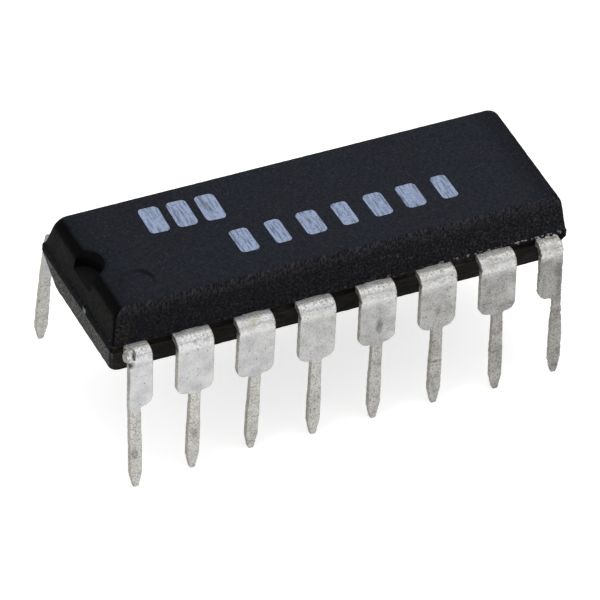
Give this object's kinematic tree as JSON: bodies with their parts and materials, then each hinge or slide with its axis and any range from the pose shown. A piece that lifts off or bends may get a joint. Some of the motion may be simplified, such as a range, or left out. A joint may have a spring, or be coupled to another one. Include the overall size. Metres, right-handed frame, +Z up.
{
  "type": "dip integrated circuit chip",
  "caption": "Dual in-line integrated circuit: black moulded package with a notched end, on two rows of bent, solder-dipped leads for through-hole mounting.",
  "frame": {"origin": "middle of the footprint, on the plane that the tips of the leads stand on", "axes": "+X along the rows, away from the notched end; +Y across the rows, from leads 1-8 towards leads 9-16; +Z up, out of the top face"},
  "size_m": [0.0192, 0.0094, 0.0075],
  "materials": {
    "moulding_compound": "black epoxy moulding compound, satin on top and grained on the sides",
    "solder_dipped_lead": "copper alloy strip dipped in solder, light grey, satin, mottled and pitted",
    "copper_strip": "bare copper alloy strip",
    "silver_adhesive": "silver-filled epoxy, matt",
    "silicon": "polished silicon with a dark blue-grey passivated face",
    "gold_wire": "drawn gold wire"
  },
  "bodies": {
    "root": {"moulded_body": "moulding_compound", "die_pad": "copper_strip", "die_attach": "silver_adhesive", "die": "silicon", "lead_01": "solder_dipped_lead", "lead_02": "solder_dipped_lead", "lead_03": "solder_dipped_lead", "lead_04": "solder_dipped_lead", "lead_05": "solder_dipped_lead", "lead_06": "solder_dipped_lead", "lead_07": "solder_dipped_lead", "lead_08": "solder_dipped_lead", "lead_09": "solder_dipped_lead", "lead_10": "solder_dipped_lead", "lead_11": "solder_dipped_lead", "lead_12": "solder_dipped_lead", "lead_13": "solder_dipped_lead", "lead_14": "solder_dipped_lead", "lead_15": "solder_dipped_lead", "lead_16": "solder_dipped_lead", "bond_wire_01": "gold_wire", "bond_wire_02": "gold_wire", "bond_wire_03": "gold_wire", "bond_wire_04": "gold_wire", "bond_wire_05": "gold_wire", "bond_wire_06": "gold_wire", "bond_wire_07": "gold_wire", "bond_wire_08": "gold_wire", "bond_wire_09": "gold_wire", "bond_wire_10": "gold_wire", "bond_wire_11": "gold_wire", "bond_wire_12": "gold_wire", "bond_wire_13": "gold_wire", "bond_wire_14": "gold_wire", "bond_wire_15": "gold_wire", "bond_wire_16": "gold_wire"}
  },
  "joints": []
}
